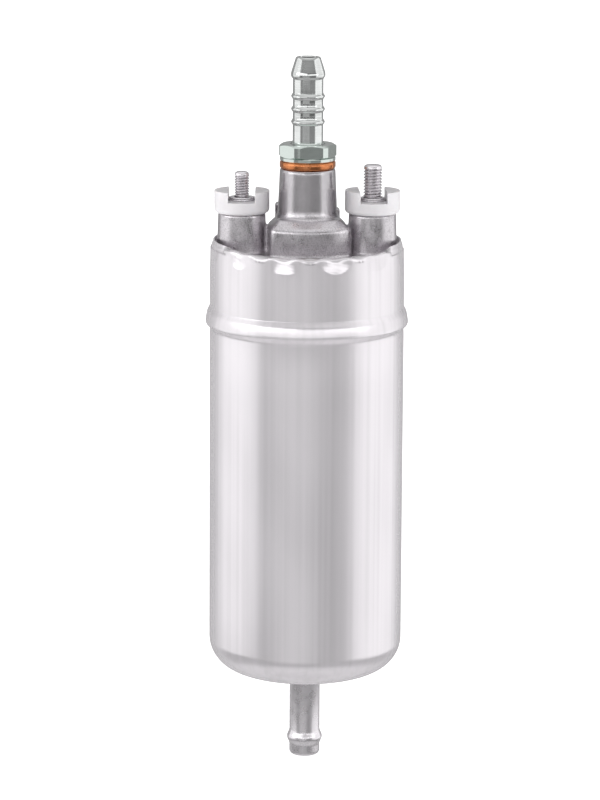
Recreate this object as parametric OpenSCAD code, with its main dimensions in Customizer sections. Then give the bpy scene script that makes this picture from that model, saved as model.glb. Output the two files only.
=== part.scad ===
// In-line electric fuel pump: a drawn can with a roller-cell pump unit at its inlet end,
// a permanent-magnet motor in the middle and a cast end cover crimped into its rim.
// Millimetres. The origin is on the axis, at the centre of the clamp band; +Z is the outlet end.

/* [Can] */
// Outside diameter of the can
can_d = 52; // [50:0.5:58]
// Wall thickness of the can
can_wall = 1.2; // [0.8:0.1:1.5]
// Length of the can from its flat bottom to its rim
can_len = 117.5; // [114:0.5:135]
// Outside radius of the bottom corner
can_corner_r = 8; // [6:0.5:9]
// Height of the clamp band's centre above the flat bottom
clamp_h = 50; // [30:1:70]
// How far below the rim the bead's centre lies
bead_drop = 20.6; // [18:0.1:24]
// Height of the bead
bead_w = 6.7; // [4:0.1:8]
// How far the bead stands out of the can
bead_out = 1.15; // [0.5:0.05:2]
// How much the rim's radius is drawn in above the bead
rim_draw = 0.7; // [0.2:0.1:1]
// How far the crimped lip turns in over the end cover
lip_in = 1.4; // [0.8:0.1:1.6]

/* [Inlet spigot] */
// Outside diameter of the spigot
spigot_d = 8.2; // [7:0.1:9]
// Diameter of the spigot's bore
spigot_bore_d = 6.2; // [5:0.1:6.6]
// Length of the spigot below the can
spigot_len = 25.3; // [20:0.1:35]
// Distance of the hose bead's centre from the spigot's end
spigot_bead_up = 4.9; // [4.6:0.1:8]
// Width of the hose bead
spigot_bead_w = 4.6; // [3:0.1:5]
// How far the hose bead stands out
spigot_bead_out = 0.65; // [0.3:0.05:1]

/* [End cover] */
// How far the cover's top face lies below the rim
cover_drop = 2; // [1.8:0.1:3]
// Thickness of the cover's flange
flange_h = 11.5; // [11:0.1:13]
// Wall thickness of the skirt under the flange
skirt_wall = 1.7; // [1.2:0.1:2]
// Height of the column's top above the rim
column_h = 19.1; // [18:0.1:24]
// Diameter of the column at its top
column_d = 14.9; // [14.9:0.1:16]
// Draft of the column, added to its radius at its foot
column_draft = 0.5; // [0.1:0.1:0.9]
// Height of the square-sided block above the rim
block_h = 4.1; // [3:0.1:5]
// Diameter of the block
block_d = 24; // [23:0.1:25]
// Distance between the block's two flats
block_flats = 21; // [19:0.1:22]
// Angle the block is turned by
block_turn = 5; // [0:1:10]
// Width of the rib behind the column
rib_w = 17.4; // [12:0.1:18]
// Height of the rib above the rim
rib_h = 9.3; // [6:0.1:12]

/* [Terminals] */
// Room between the column's foot and a terminal tower
tower_gap = 2.8; // [2:0.1:4]
// Draft of a tower, added to its radius at its foot
tower_draft = 0.3; // [0.1:0.1:0.5]
// Height of a tower's top above the rim
tower_h = 7.4; // [6:0.1:10]
// Bore through a tower
tower_bore_d = 7.2; // [6.6:0.1:8]
// How far an insulating collar stands out over its tower
collar_out = 0.95; // [0.5:0.05:1.2]
// Height of a collar from the tower to its slot's floor
collar_floor = 3.35; // [2.5:0.05:4.5]
// Depth of the slot across a collar
collar_slot_h = 2.35; // [1.5:0.05:4]
// Width of the slot across a collar
collar_slot_w = 7.1; // [7:0.1:8]
// Thread diameter of the left stud
left_stud_d = 4; // [3:0.5:4.5]
// Thread diameter of the right stud
right_stud_d = 5; // [4:0.5:5]
// Height of the left stud above its collar's slot floor
left_stud_h = 7.85; // [6:0.05:14]
// Height of the right stud above its collar's slot floor
right_stud_h = 9.85; // [6:0.05:14]
// Diameter of the stud washers
washer_d = 6.9; // [6:0.1:7]
// Thickness of each stud washer
washer_h = 0.45; // [0.3:0.05:0.8]

/* [Outlet nipple] */
// Width of the hexagon across its flats
hex_af = 14; // [12:0.5:14.5]
// Diameter that the hexagon's corners are turned to
hex_corner_d = 15.5; // [14.5:0.1:16]
// Height of the hexagon
hex_h = 3.8; // [3:0.1:6]
// Angle the hexagon is turned by
hex_turn = 8.4; // [0:0.1:60]
// Thickness of the turned face under the hexagon
hex_face_h = 1; // [0.5:0.1:1.5]
// Outside diameter of the hose tube
tube_d = 8.2; // [7.5:0.1:9]
// Length of the hose tube from the hexagon to the barb
tube_len = 16.8; // [12:0.1:25]
// Diameter of the barb's crest
barb_d = 9.3; // [9.1:0.1:10]
// Length of the land on the barb's crest
barb_land = 1; // [0.8:0.1:1.5]
// Height of the taper above the barb
barb_tip_h = 3.8; // [3:0.1:6]
// Diameter of the tube's end
tip_d = 6; // [5.4:0.1:6.5]
// Bore of the nipple
nipple_bore_d = 4.6; // [3:0.1:4.8]
// Number of ring barbs on the tube
ring_count = 3; // [1:1:4]
// Distance between two ring barbs
ring_pitch = 3.4; // [3:0.1:4]
// Outside diameter of a ring barb
ring_d = 9; // [8.6:0.1:9.2]
// Width of a ring barb
ring_w = 1.9; // [1:0.1:2.2]
// Distance of the lowest ring from the hexagon
ring_first = 5.9; // [4:0.1:7]
// Thread diameter of the nipple's shank
shank_d = 12; // [11:0.1:12]
// Length of the shank
shank_len = 12; // [11:0.1:13]
// Thickness of the sealing washer
seal_washer_h = 2; // [1:0.1:2.5]
// Outside diameter of the sealing washer
seal_washer_d = 14.9; // [14:0.1:16]

/* [Pump unit] */
// Height of the foot ring under the pump base
foot_h = 4.8; // [4.5:0.1:6]
// Thickness of the pump base
base_h = 7; // [6:0.1:8]
// Height of the cam ring
cam_h = 9; // [7:0.1:10]
// Thickness of the pump cover
plate_h = 5; // [4:0.1:6]
// Least wall of the cam ring around its bore
cam_wall = 6.85; // [6.6:0.05:7.4]
// Offset of the cam ring's bore from the shaft
cam_offset = 1.4; // [1:0.1:1.4]
// Least gap between the rotor disc and the cam ring
rotor_gap = 0.4; // [0.4:0.05:0.8]
// Diameter of a roller
roller_d = 4.5; // [4:0.1:5]
// Distance of the pump screws from the pump unit's rim
screw_inset = 3.95; // [3.7:0.05:4.2]
// Thread diameter of the pump screws
screw_d = 3; // [2.5:0.5:3]
// Diameter of the relief valve's ball
relief_ball_d = 4.4; // [4:0.1:4.6]
// Diameter of the relief valve's seat
relief_seat_d = 3; // [2.4:0.1:3.4]

/* [Motor] */
// Diameter of the shaft
shaft_d = 6; // [5:0.1:6.4]
// Outside diameter of the two bearing bushes
bush_d = 11; // [10:0.1:12]
// Wall thickness of the steel flux ring
flux_wall = 2; // [1.6:0.1:2.2]
// Thickness of the magnets
magnet_t = 4.7; // [4:0.1:5]
// Length of the magnets
magnet_len = 48; // [40:0.5:50]
// Angle that each magnet spans
magnet_angle = 136; // [110:1:140]
// Air gap between the magnets and the laminations
air_gap = 0.7; // [0.5:0.1:1.2]
// Length of the lamination stack
stack_len = 38; // [30:0.5:39]
// Number of slots in the lamination stack
slot_count = 8; // [6:1:9]
// Diameter of the commutator
commutator_d = 16; // [14:0.1:16.4]
// Length of the commutator
commutator_len = 10; // [8:0.1:10.4]
// Width of a brush, around the shaft
brush_w = 5; // [4:0.1:6]
// Height of a brush, along the shaft
brush_h = 6; // [5:0.1:7]
// Travel of a brush against its spring
brush_travel = 2; // [1:0.1:2]

/* [Valve in the nipple] */
// Diameter of the valve chamber
chamber_d = 8.4; // [7.6:0.1:8.6]
// Diameter of the valve disc
poppet_d = 7; // [6:0.1:7.2]
// Opening travel of the valve
poppet_travel = 2; // [1:0.1:2.5]

/* [Hidden] */
$fn = 96;
RUN = 0.03;         // radial clearance of a shaft in its bush
SLIP = 0.05;        // radial clearance of a piece that is put in by hand
SIDE = 0.1;         // clearance of a brush in its guide, and of the cover in the can
APART = 0.3;        // clearance between a turning piece and a fixed one
CUT = 0.5;          // how far a cut runs past the face it opens

can_r = can_d / 2;
can_in_r = can_r - can_wall;
floor_z = -clamp_h;
floor_in_z = floor_z + can_wall;
rim_z = floor_z + can_len;
bead_z = rim_z - bead_drop;
neck_z = bead_z + bead_w / 2;
corner_in_r = can_corner_r - can_wall;
spigot_r = spigot_d / 2;
spigot_end_z = floor_z - spigot_len;
spigot_edge = 0.6;  // rounding of the spigot's end
spigot_bead_z = spigot_end_z + spigot_bead_up;

// The end cover hangs from the rim
cover_z = rim_z - cover_drop;
ceiling_z = cover_z - flange_h;
flange_r = can_in_r - rim_draw - SIDE;
skirt_r = can_in_r - APART;
skirt_in_r = skirt_r - skirt_wall;
shelf_w = 0.8;      // ledge that the brush plate is pressed up against
shelf_h = 0.9;
skirt_len = 18;
skirt_z = ceiling_z - skirt_len;
seal_d = 2;         // section of the cover's sealing ring
seal_z = ceiling_z + 3.5;
seal_bed_r = can_in_r - rim_draw * (seal_z + seal_d - neck_z) / (cover_z - neck_z) - SIDE - seal_d;
column_top_z = rim_z + column_h;
column_r = column_d / 2;
block_z = rim_z + block_h;
block_edge = 1.2;   // slope's width around the block's top
cross_w = 5;        // width of the fuel passage across the flange
cross_h = 5;
cross_z = ceiling_z + 1.6;
duct_y = 10;        // where the two ducts rise from the motor space
bush_h = 6.4;
boss_r = bush_d / 2 + 2.5;
boss_z = ceiling_z - 7;
upper_bush_z = boss_z + 0.2;

// A tower fills the room between the column and the crimped lip
lip_r = can_r - rim_draw - lip_in;
tower_foot_r = (lip_r - SLIP - column_r - column_draft - tower_gap) / 2;
tower_r = tower_foot_r - tower_draft;
terminal_x = lip_r - SLIP - tower_foot_r;
tower_z = rim_z + tower_h;
collar_r = tower_r + collar_out;
slot_floor_z = tower_z + collar_floor;
collar_top_z = slot_floor_z + collar_slot_h;
collar_edge = 1.2;  // rounding of the collar's lower edge
stud_foot_z = slot_floor_z + 2 * washer_h;
stud_step = 0.2;    // how much thinner the stud's neck is than its thread
stud_tip = 0.5;     // chamfer of the stud's tip
stud_low_z = ceiling_z - 6;
insulator_h = 1;    // insulating washer under the ceiling
insulator_r = 4.1;
strip_t = 0.6;
strip_w = 4;
strip_z = ceiling_z - insulator_h - strip_t;
nut_h = 3.6;

// The pump unit stands on the can's floor
unit_r = can_in_r - 0.25;
base_z = floor_in_z + foot_h;
cam_z = base_z + base_h;
plate_z = cam_z + cam_h;
unit_top_z = plate_z + plate_h;
foot_out_r = can_r - can_corner_r - 0.2;
foot_in_r = foot_out_r - 2.6;
cam_bore_r = unit_r - cam_offset - cam_wall;
rotor_r = cam_bore_r - cam_offset - rotor_gap;
roller_r = roller_d / 2;
roller_count = 5;   // one node for each, so their number is fixed
roller_orbit = rotor_r - roller_r - SLIP;
port_in_r = rotor_r - 3.9;
port_w = 3;
port_angle = 130;
screw_r = screw_d / 2;
screw_head_h = 2;
screw_head_r = screw_r + 1.1;
relief_x = -(unit_r - 4.95);
relief_bore_r = relief_ball_d / 2 + 0.4;
relief_ball_r = relief_ball_d / 2;
relief_seat_r = relief_seat_d / 2;
relief_ball_z = plate_z - sqrt(pow(relief_ball_r, 2) - pow(relief_seat_r, 2)) - SLIP;
relief_plug_h = 3;
relief_wire = 0.5;
relief_turns = 6;
relief_coil_r = relief_seat_r;
relief_spring_top = relief_ball_z - sqrt(pow(relief_ball_r, 2) - pow(relief_coil_r, 2)) - SLIP;

// The motor stands on the pump unit
shaft_r = shaft_d / 2;
bush_r = bush_d / 2;
shaft_low_z = base_z + 0.5;
shaft_top_z = upper_bush_z + bush_h;
lower_bush_z = cam_z - bush_h - 0.2;
flux_r = can_in_r - 0.4;
flux_in_r = flux_r - flux_wall;
magnet_r = flux_in_r - SLIP;
magnet_in_r = magnet_r - magnet_t;
magnet_z = unit_top_z + 5;
clip_t = 0.9;
stack_r = magnet_in_r - air_gap;
stack_z = magnet_z + (magnet_len - stack_len) / 2;
slot_r = 3.2;
slot_orbit = stack_r - slot_r - 2.2;
end_turn_h = 6;
hub_r = shaft_r + 2.5;
commutator_r = commutator_d / 2;
commutator_top_z = upper_bush_z - 2;
commutator_z = commutator_top_z - commutator_len;
riser_h = 1.4;
riser_out = 1.4;
shim_h = 0.6;
shim_count = 3;
coupling_r = 6.3;
coupling_h = 8;
dog_r = 1.15;
dog_orbit = shaft_r + 2;
dog_len = 4;

// The brush gear hangs under the end cover
plate_t = 2;
brush_plate_z = ceiling_z - 8.5;
brush_z = commutator_z + commutator_len / 2 - 0.5;
guide_wall = 0.5;
guide_x = commutator_r + 0.6;
guide_end_x = skirt_in_r - 1;
brush_x = commutator_r + SLIP;
brush_coil_r = 2;
brush_wire = 0.4;
brush_turns = 3;
brush_preload = 0.6; // how far the spring is from its free length when the brush touches
spring_end_x = guide_end_x - guide_wall;
brush_end_x = spring_end_x - brush_travel - (brush_turns + 1) * brush_wire - brush_preload;
pigtail_r = 0.6;
guide_top_z = brush_z + brush_h / 2 + SIDE + guide_wall;
strip_leg_y = 5.2;
choke_y = 14;
choke_r = 2.6;
choke_core_r = 1.7;
choke_len = 12;
choke_z = ceiling_z - choke_r - 0.4;

// The outlet nipple screws down on to the column
nipple_z = column_top_z + seal_washer_h;
hex_z = nipple_z + hex_face_h;
hex_slope = 0.5;    // height of the slopes turned on the hexagon's corners
tube_z = hex_z + hex_h;
tube_r = tube_d / 2;
barb_r = barb_d / 2;
crest_z = tube_z + tube_len + 1.2;
tip_z = crest_z + barb_land + barb_tip_h;
tip_r = tip_d / 2;
nipple_bore_r = nipple_bore_d / 2;
shank_r = shank_d / 2 - SLIP;
shank_z = column_top_z - shank_len;
chamber_r = chamber_d / 2;
chamber_top_z = column_top_z + 1.4;
seat_h = 3;
seat_bore_r = 2;
seat_top_z = shank_z + seat_h;
poppet_r = poppet_d / 2;
poppet_z = seat_top_z + SLIP;
poppet_h = 1.2;
stem_r = 1.2;
stem_gap = 1;       // what is left between the stem and the chamber's top when the valve is open
stem_h = chamber_top_z - poppet_z - poppet_h - poppet_travel - stem_gap;
valve_coil_r = (nipple_bore_r + poppet_r) / 2;
valve_wire = 0.4;
valve_turns = 4;

// Points of an arc around c, from angle a0 to a1
function arc(c, r, a0, a1, n = 10) =
    [for (i = [0:n]) let (a = a0 + (a1 - a0) * i / n) [c[0] + r * cos(a), c[1] + r * sin(a)]];

// Points of a bead on a wall of radius r0: it stands out by b over a height of 2 * h
function bulge(r0, z, h, b, up = true, n = 10) =
    let (r = (h * h + b * b) / (2 * b), a = asin(h / r), s = up ? 1 : -1)
    arc([r0 + b - r, z], r, -a * s, a * s, n);

// A solid turned from a list of [radius, height] points
module turned(points) {
    rotate_extrude() polygon(points);
}

// A ring between two radii
module ring(r_in, r_out, z, h) {
    turned([[r_in, z], [r_out, z], [r_out, z + h], [r_in, z + h]]);
}

// A part of a ring, from angle a0 over da degrees
module ring_sector(r_in, r_out, z, h, a0, da) {
    rotate([0, 0, a0]) rotate_extrude(angle = da) translate([r_in, z]) square([r_out - r_in, h]);
}

// A round wire coiled along +Z from height 0 to length, with turns that stay open
module coil_spring(coil_r, wire_d, length, turns) {
    steps = 12;
    sides = 6;
    rings = round(turns * steps);
    rise = length - wire_d;
    slope = atan(rise / (turns * 360 * PI / 180 * coil_r));
    points = [for (i = [0:rings], j = [0:sides - 1])
        let (a = 360 * i / steps, b = 360 * j / sides,
            out = coil_r + wire_d / 2 * cos(b), up = wire_d / 2 * sin(b))
        [out * cos(a) + up * sin(slope) * sin(a), out * sin(a) - up * sin(slope) * cos(a),
            wire_d / 2 + rise * i / rings + up * cos(slope)]];
    walls = [for (i = [0:rings - 1], j = [0:sides - 1])
        let (k = (j + 1) % sides, p = i * sides + j, q = i * sides + k, r = q + sides, s = p + sides)
        each [[p, r, q], [p, s, r]]];
    first = [for (j = [1:sides - 2]) [0, j, j + 1]];
    last = [for (j = [1:sides - 2]) [rings * sides, rings * sides + j + 1, rings * sides + j]];
    polyhedron(points, concat(walls, first, last), convexity = 10);
}

// A round bar along X
module bar_x(r, x0, x1) {
    translate([x0, 0, 0]) rotate([0, 90, 0]) cylinder(r = r, h = x1 - x0);
}

// Drawn can with its spigot and the rim crimped over the end cover
module can() {
    bore_r = spigot_bore_d / 2;
    corner = [can_r - can_corner_r, floor_z + can_corner_r];
    outer = concat(
        [[bore_r, spigot_end_z]],
        arc([spigot_r - spigot_edge, spigot_end_z + spigot_edge], spigot_edge, -90, 0, 5),
        bulge(spigot_r, spigot_bead_z, spigot_bead_w / 2, spigot_bead_out),
        [[spigot_r, floor_z]],
        arc(corner, can_corner_r, -90, 0, 12),
        bulge(can_r, bead_z, bead_w / 2, bead_out),
        [[can_r, neck_z + 1],
            [can_r - rim_draw * 0.6, rim_z - 2.7],
            [can_r - rim_draw, rim_z - 0.8],
            [can_r - rim_draw - 0.5, rim_z]]);
    lip = [[lip_r, rim_z],
        [lip_r, rim_z - 0.7],
        [can_in_r - rim_draw, cover_z + 0.4],
        [can_in_r - rim_draw, cover_z],
        [can_in_r, neck_z + 1]];
    inner = concat(
        bulge(can_in_r, bead_z, bead_w / 2 - 0.6, bead_out, false),
        arc(corner, corner_in_r, 0, -90, 12),
        [[bore_r, floor_in_z]]);
    color("gainsboro") turned(concat(outer, lip, inner));
}

// One terminal tower of the end cover, with its foot in the flange
module tower(x) {
    translate([x, 0, 0])
        turned([[0, cover_z - 1], [tower_foot_r, cover_z - 1],
            [tower_foot_r, cover_z], [tower_r, tower_z], [0, tower_z]]);
}

// Flange, skirt and bearing boss of the end cover, as one turned body
module cover_body() {
    turned([[0, cover_z], [lip_r, cover_z],
        [flange_r, cover_z - 0.4], [flange_r, seal_z + seal_d],
        [seal_bed_r, seal_z + seal_d], [seal_bed_r, seal_z - SLIP],
        [flange_r, seal_z - SLIP], [skirt_r - 0.3, ceiling_z],
        [skirt_r, bead_z - bead_w / 2], [skirt_r, skirt_z], [skirt_in_r, skirt_z],
        [skirt_in_r, brush_plate_z + plate_t], [skirt_in_r - shelf_w, brush_plate_z + plate_t],
        [skirt_in_r - shelf_w, brush_plate_z + plate_t + shelf_h],
        [skirt_in_r, brush_plate_z + plate_t + shelf_h], [skirt_in_r, ceiling_z],
        [boss_r, ceiling_z], [boss_r, boss_z], [0, boss_z]]);
}

// Central column and the block that it rises from
module cover_column() {
    foot_r = column_r + column_draft;
    turned([[0, cover_z - 1], [foot_r, cover_z - 1], [foot_r + 0.5, block_z + 1],
        [foot_r + 0.1, block_z + 2.6], [column_r, column_top_z - 0.3],
        [column_r - 0.3, column_top_z], [0, column_top_z]]);
    rotate([0, 0, block_turn]) intersection() {
        turned([[0, cover_z - 1], [block_d / 2, cover_z - 1], [block_d / 2, block_z - 0.3],
            [block_d / 2 - block_edge, block_z + 0.6], [foot_r, block_z + 1.4], [0, block_z + 1.4]]);
        translate([-block_flats / 2, -block_d / 2, cover_z - 1])
            cube([block_flats, block_d, block_h + cover_drop + 4]);
    }
}

// Cast rib that stands behind the column, lower on its right
module cover_rib() {
    translate([0, 8.4, 0]) rotate([90, 0, 0]) linear_extrude(5)
        polygon([[-rib_w / 2, cover_z - 1], [rib_w / 2, cover_z - 1],
            [rib_w / 2, rim_z + rib_h - 2.3], [rib_w / 2 - 0.8, rim_z + rib_h - 1.5],
            [-rib_w / 2 + 0.8, rim_z + rib_h], [-rib_w / 2, rim_z + rib_h - 0.8]]);
}

module end_cover() {
    color("silver") difference() {
        union() {
            cover_body();
            cover_column();
            cover_rib();
            for (side = [-1, 1]) tower(side * terminal_x);
        }
        for (side = [-1, 1])
            translate([side * terminal_x, 0, ceiling_z - CUT])
                cylinder(d = tower_bore_d, h = tower_z - ceiling_z + 2 * CUT);
        translate([0, 0, shank_z]) cylinder(d = shank_d, h = shank_len + CUT);
        translate([0, 0, cross_z]) cylinder(r = chamber_r, h = shank_z - cross_z + CUT);
        translate([-cross_w / 2, -duct_y - 2, cross_z]) cube([cross_w, 2 * duct_y + 4, cross_h]);
        for (side = [-1, 1])
            translate([0, side * duct_y, ceiling_z - CUT])
                cylinder(d = cross_w - 0.4, h = cross_z - ceiling_z + CUT + 1);
        translate([0, 0, boss_z - CUT]) cylinder(r = bush_r, h = bush_h + 0.4 + CUT);
    }
}

// Rubber ring between the cover and the can
module cover_seal() {
    color("dimgray") translate([0, 0, seal_z + seal_d / 2])
        rotate_extrude() translate([seal_bed_r + SLIP + seal_d / 2, 0]) circle(d = seal_d - SLIP, $fn = 32);
}

// Outlet nipple: threaded shank with the valve chamber, hexagon, tube with rings and a barb
module outlet_nipple() {
    ring_points = [for (i = [0:ring_count - 1]) each
        bulge(tube_r, tube_z + ring_first + i * ring_pitch, ring_w / 2, (ring_d - tube_d) / 2, true, 6)];
    color("lightgray") {
        union() {
            turned(concat(
                [[chamber_r, shank_z], [shank_r, shank_z], [shank_r, nipple_z],
                    [seal_washer_d / 2 - 0.05, nipple_z], [seal_washer_d / 2 - 0.05, hex_z],
                    [tube_r, hex_z], [tube_r, tube_z]],
                ring_points,
                [[tube_r, tube_z + tube_len], [barb_r, crest_z], [barb_r, crest_z + barb_land],
                    [tip_r + 0.3, tip_z - 0.6], [tip_r, tip_z - 0.2], [tip_r - 0.2, tip_z],
                    [nipple_bore_r, tip_z], [nipple_bore_r, chamber_top_z], [chamber_r, chamber_top_z]]));
            intersection() {
                rotate([0, 0, hex_turn]) translate([0, 0, hex_z])
                    difference() {
                        cylinder(r = hex_af / 2 / cos(30), h = hex_h, $fn = 6);
                        translate([0, 0, -CUT]) cylinder(r = tube_r - 0.6, h = hex_h + 2 * CUT);
                    }
                turned([[0, hex_z], [hex_af / 2 + 0.1, hex_z], [hex_corner_d / 2, hex_z + hex_slope],
                    [hex_corner_d / 2, tube_z - hex_slope], [hex_af / 2 + 0.1, tube_z], [0, tube_z]]);
            }
        }
    }
}

// Copper washer under the nipple
module nipple_washer() {
    r = seal_washer_d / 2;
    color("chocolate") turned(concat([[shank_d / 2 + SLIP, column_top_z]],
        arc([r - 0.6, column_top_z + 0.6], 0.6, -90, 0, 4),
        arc([r - 0.6, nipple_z - 0.6], 0.6, 0, 90, 4),
        [[shank_d / 2 + SLIP, nipple_z]]));
}

module check_valve_seat() {
    color("goldenrod") ring(seat_bore_r, chamber_r - SLIP, shank_z, seat_h);
}

// Valve disc with the stem that guides its spring
module check_valve_poppet() {
    disc_top = poppet_z + poppet_h;
    color("black") turned([[0, poppet_z], [poppet_r, poppet_z], [poppet_r, disc_top],
        [stem_r, disc_top], [stem_r, disc_top + stem_h], [0, disc_top + stem_h]]);
}

module check_valve_spring() {
    foot = poppet_z + poppet_h + SLIP;
    color("gray") translate([0, 0, foot])
        coil_spring(valve_coil_r, valve_wire, chamber_top_z - foot - SLIP, valve_turns);
}

// Insulating collar with its sleeve down through the tower
module collar(side, stud_d, turn) {
    bore = stud_d / 2 + SIDE;
    sleeve_r = tower_bore_d / 2 - SLIP;
    color("whitesmoke") translate([side * terminal_x, 0, 0]) rotate([0, 0, turn]) difference() {
        turned(concat([[bore, ceiling_z], [sleeve_r, ceiling_z], [sleeve_r, tower_z]],
            arc([collar_r - collar_edge, tower_z + collar_edge], collar_edge, -90, 0, 5),
            [[collar_r, collar_top_z], [bore, collar_top_z]]));
        translate([-collar_slot_w / 2, -collar_r - CUT, slot_floor_z])
            cube([collar_slot_w, 2 * collar_r + 2 * CUT, collar_slot_h + CUT]);
    }
}

// Terminal stud: threaded at both ends, with a thinner neck through the collar
module stud(side, d, h) {
    r = d / 2;
    top = slot_floor_z + h;
    color("silver") translate([side * terminal_x, 0, 0])
        turned([[0, stud_low_z], [r, stud_low_z], [r, strip_z], [r - stud_step, strip_z],
            [r - stud_step, stud_foot_z], [r, stud_foot_z], [r, top - stud_tip],
            [r - stud_tip, top], [0, top]]);
}

// Two plain washers on the collar's slot floor
module stud_washers(side, d) {
    color("darkgray") translate([side * terminal_x, 0, 0]) for (i = [0, 1])
        ring(d / 2 + SLIP, washer_d / 2 - i * 0.12, slot_floor_z + i * washer_h, washer_h);
}

// Nut on the stud's inner end
module stud_nut(side, d) {
    color("darkgray") translate([side * terminal_x, 0, strip_z - nut_h]) rotate([0, 0, 30]) difference() {
        cylinder(r = (d * 0.8 + 3.6) / 2 / cos(30), h = nut_h, $fn = 6);
        translate([0, 0, -CUT]) cylinder(r = d / 2 + RUN, h = nut_h + 2 * CUT);
    }
}

// Insulating washers under the ceiling, one around each stud
module terminal_insulators() {
    color("wheat") for (side = [-1, 1]) translate([side * terminal_x, 0, 0])
        ring(right_stud_d / 2 + SIDE, insulator_r, ceiling_z - insulator_h, insulator_h);
}

// Brass strip from a stud down to the top of its brush guide
module strip(side, d) {
    leg_h = strip_z + strip_t - guide_top_z;
    edge_x = side * terminal_x - strip_w / 2;
    color("gold") difference() {
        union() {
            translate([side * terminal_x, 0, strip_z]) cylinder(r = insulator_r - SIDE, h = strip_t);
            translate([edge_x, 0, strip_z]) cube([strip_w, strip_leg_y + strip_t, strip_t]);
            translate([edge_x, strip_leg_y, guide_top_z]) cube([strip_w, strip_t, leg_h]);
            translate([edge_x, -2, guide_top_z]) cube([strip_w, strip_leg_y + 2 + strip_t, strip_t]);
        }
        translate([side * terminal_x, 0, strip_z - CUT])
            cylinder(r = d / 2 + SLIP, h = strip_t + 2 * CUT);
    }
}

// Moulded plate that carries the brush guides, with a cradle over each guide
module brush_plate() {
    cradle_end = terminal_x - strip_w / 2 - 0.8;
    cradle_h = brush_plate_z + plate_t / 2 - guide_top_z;
    color("saddlebrown") difference() {
        union() {
            ring(boss_r + 0.8, skirt_in_r - SLIP, brush_plate_z, plate_t);
            for (side = [0, 1]) mirror([side, 0, 0])
                translate([guide_x + 1, -brush_w / 2 - 1.2, guide_top_z])
                    cube([cradle_end - guide_x - 1, brush_w + 2.4, cradle_h]);
        }
        for (side = [0, 1]) mirror([side, 0, 0])
            translate([terminal_x - strip_w / 2 - APART, strip_leg_y - APART, brush_plate_z - CUT])
                cube([strip_w + 2 * APART, strip_t + 2 * APART, plate_t + 2 * CUT]);
        translate([0, 0, guide_top_z - CUT])
            cylinder(r = boss_r + 0.8, h = brush_plate_z - guide_top_z + plate_t + 2 * CUT);
    }
}

// Brass box that guides a brush and holds its spring
module brush_guide(side) {
    w = brush_w + 2 * SIDE;
    h = brush_h + 2 * SIDE;
    color("gold") mirror([side < 0 ? 1 : 0, 0, 0]) difference() {
        translate([guide_x, -w / 2 - guide_wall, brush_z - h / 2 - guide_wall])
            cube([guide_end_x - guide_x, w + 2 * guide_wall, h + 2 * guide_wall]);
        translate([guide_x - CUT, -w / 2, brush_z - h / 2])
            cube([spring_end_x - guide_x + CUT, w, h]);
    }
}

module brush(side) {
    color("darkslategray") mirror([side < 0 ? 1 : 0, 0, 0])
        translate([brush_x, -brush_w / 2, brush_z - brush_h / 2])
            cube([brush_end_x - brush_x, brush_w, brush_h]);
}

module brush_spring(side) {
    color("gray") mirror([side < 0 ? 1 : 0, 0, 0]) translate([brush_end_x + SLIP, 0, brush_z])
        rotate([0, 90, 0])
            coil_spring(brush_coil_r, brush_wire, spring_end_x - brush_end_x - 2 * SLIP, brush_turns);
}

// Braided lead on the spring's axis, from the brush to the guide's end
module pigtail(side) {
    color("peru") mirror([side < 0 ? 1 : 0, 0, 0]) translate([0, 0, brush_z])
        bar_x(pigtail_r, brush_end_x, spring_end_x);
}

// Two interference chokes: ferrite cores, and coils around their middles
module choke_cores() {
    color("black") for (side = [-1, 1]) translate([0, side * choke_y, choke_z])
        bar_x(choke_core_r, -choke_len / 2, choke_len / 2);
}

module choke_coils() {
    color("peru") for (side = [-1, 1]) translate([0, side * choke_y, choke_z]) difference() {
        bar_x(choke_r, -choke_len / 2 + 1.5, choke_len / 2 - 1.5);
        bar_x(choke_core_r, -choke_len, choke_len);
    }
}

module upper_bush() {
    color("darkgoldenrod") ring(shaft_r + RUN, bush_r, upper_bush_z, bush_h);
}

module lower_bush() {
    color("darkgoldenrod") ring(shaft_r + RUN, bush_r, lower_bush_z, bush_h);
}

// Steel tube that carries the magnets, from the pump cover to the end cover's skirt
module flux_ring() {
    color("slategray") ring(flux_in_r, flux_r, unit_top_z, skirt_z - unit_top_z);
}

module magnet(middle) {
    color("dimgray") ring_sector(magnet_in_r, magnet_r, magnet_z, magnet_len,
        middle - magnet_angle / 2, magnet_angle);
}

// Spring-steel clips between the magnets' ends
module magnet_clips() {
    span = 180 - magnet_angle - 2;
    color("lightsteelblue") for (middle = [0, 180])
        ring_sector(magnet_r - clip_t, magnet_r, magnet_z, magnet_len, middle - span / 2, span);
}

module shaft() {
    color("silver") turned([[0, shaft_low_z], [shaft_r - 0.4, shaft_low_z],
        [shaft_r, shaft_low_z + 0.4], [shaft_r, shaft_top_z - 0.4],
        [shaft_r - 0.4, shaft_top_z], [0, shaft_top_z]]);
}

// Laminations with round slots that open at the rim
module lamination_stack() {
    mouth = 1.6;
    color("slategray") translate([0, 0, stack_z]) linear_extrude(stack_len) difference() {
        circle(r = stack_r);
        circle(r = shaft_r + RUN);
        for (i = [0:slot_count - 1]) rotate(360 * i / slot_count) {
            translate([slot_orbit, 0]) circle(r = slot_r, $fn = 48);
            translate([slot_orbit, -mouth / 2]) square([stack_r, mouth]);
        }
    }
}

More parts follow.
